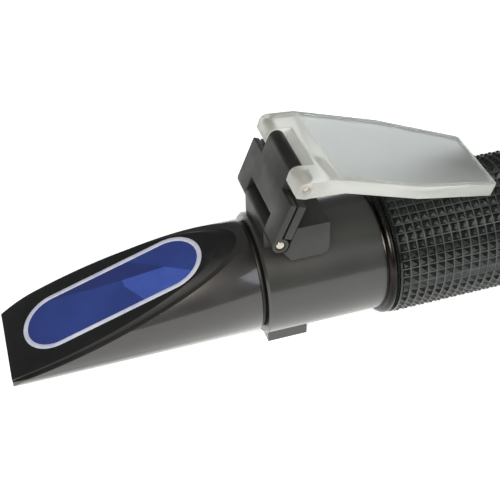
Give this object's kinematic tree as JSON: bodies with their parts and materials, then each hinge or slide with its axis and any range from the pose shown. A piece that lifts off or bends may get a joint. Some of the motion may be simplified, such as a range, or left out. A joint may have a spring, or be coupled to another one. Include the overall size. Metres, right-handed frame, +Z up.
{
  "type": "refractometer",
  "caption": "Handheld brewing refractometer: slanted blue prism under a two-hinged clear daylight plate, black tube with knurled grip, focusing ring and soft flared eyecup.",
  "frame": {"origin": "on the table under the middle of the instrument: centre of the box in X and Y, at its lowest level", "axes": "+X from the prism tip to the eyecup along the optical axis, +Z up, the prism face looks up"},
  "size_m": [0.1702, 0.035, 0.0496],
  "materials": {
    "head_black": "satin black anodised aluminium",
    "bezel_black": "matt black",
    "gasket_white": "white sealing compound",
    "prism_blue": "polished, blue looking",
    "seal_rubber": "black rubber",
    "tube_black": "satin dark grey",
    "ring_dark": "polished dark metal",
    "grip_rubber": "moulded rubber with small pyramids",
    "end_black": "satin black",
    "inner_black": "matt black",
    "brass": "turned",
    "spring_steel": "spring steel",
    "screw_steel": "blackened steel",
    "pin_steel": "ground steel",
    "hinge_plastic": "fine matt black",
    "plate_clear": "clear acrylic, frosted on the contact side",
    "lens_glass": "coated glass",
    "eyecup_rubber": "soft black rubber"
  },
  "bodies": {
    "body": {"prism_head": "head_black", "head_grub_screws": "screw_steel", "prism_bezel": "bezel_black", "prism_gasket": "gasket_white", "main_prism": "prism_blue", "prism_cradle": "bezel_black", "head_seal": "seal_rubber", "main_tube": "tube_black", "trim_ring": "ring_dark", "rubber_grip": "grip_rubber", "end_ring": "end_black", "guide_screw": "screw_steel", "snap_ring": "spring_steel", "calibration_boss": "tube_black", "foot_screw": "screw_steel", "screw_retainer": "brass", "calibration_plug": "seal_rubber", "light_baffle": "inner_black", "reticle_cell": "inner_black", "reticle": "lens_glass", "reticle_retainer": "inner_black", "hinge_block": "hinge_plastic", "block_screws": "screw_steel", "link_pin": "pin_steel"},
    "link": {"link_frame": "hinge_plastic", "link_back_plate": "hinge_plastic", "link_screws": "screw_steel", "cover_pin": "pin_steel"},
    "cover": {"daylight_plate": "plate_clear"},
    "focus": {"focus_ring": "end_black"},
    "eyepiece": {"eyepiece_barrel": "end_black", "field_lens": "lens_glass", "field_lens_retainer": "inner_black", "lens_spacer": "inner_black", "eye_lens": "lens_glass", "eye_lens_retainer": "inner_black", "eyecup": "eyecup_rubber"},
    "calibration": {"calibration_screw": "brass"},
    "objective": {"objective_carrier": "inner_black", "bimetal_strip": "spring_steel", "lens_cell": "inner_black", "objective_lens": "lens_glass", "objective_retainer": "inner_black"}
  },
  "joints": [
    {"name": "link_hinge", "type": "hinge", "parent": "body", "child": "link", "pos_m": [-0.02725, 0, 0.0347], "axis": [0, -1, 0], "range_deg": [0, 125.7]},
    {"name": "cover_hinge", "type": "hinge", "parent": "link", "child": "cover", "pos_m": [-0.02187, 0, 0.04768], "axis": [0, -1, 0], "range_deg": [0, 91.6]},
    {"name": "focus_turn", "type": "hinge", "parent": "body", "child": "focus", "pos_m": [0.0623, 0, 0.0175], "axis": [1, 0, 0], "range_deg": [-150, 150]},
    {"name": "eyepiece_slide", "type": "slide", "parent": "body", "child": "eyepiece", "axis": [1, 0, 0], "range_m": [-0.0025, 0.0025]},
    {"name": "calibration_turn", "type": "hinge", "parent": "body", "child": "calibration", "pos_m": [-0.02505, 0, 0.0033], "axis": [0, 0, 1], "range_deg": [-540, 540]},
    {"name": "objective_slide", "type": "slide", "parent": "body", "child": "objective", "axis": [0, 0, 1], "range_m": [-0.00075, 0.00075]}
  ],
  "couplings": [
    {"joint": "focus_turn", "follows": "eyepiece_slide", "rad_per_m": 1047.2},
    {"joint": "calibration_turn", "follows": "objective_slide", "rad_per_m": 12566}
  ]
}
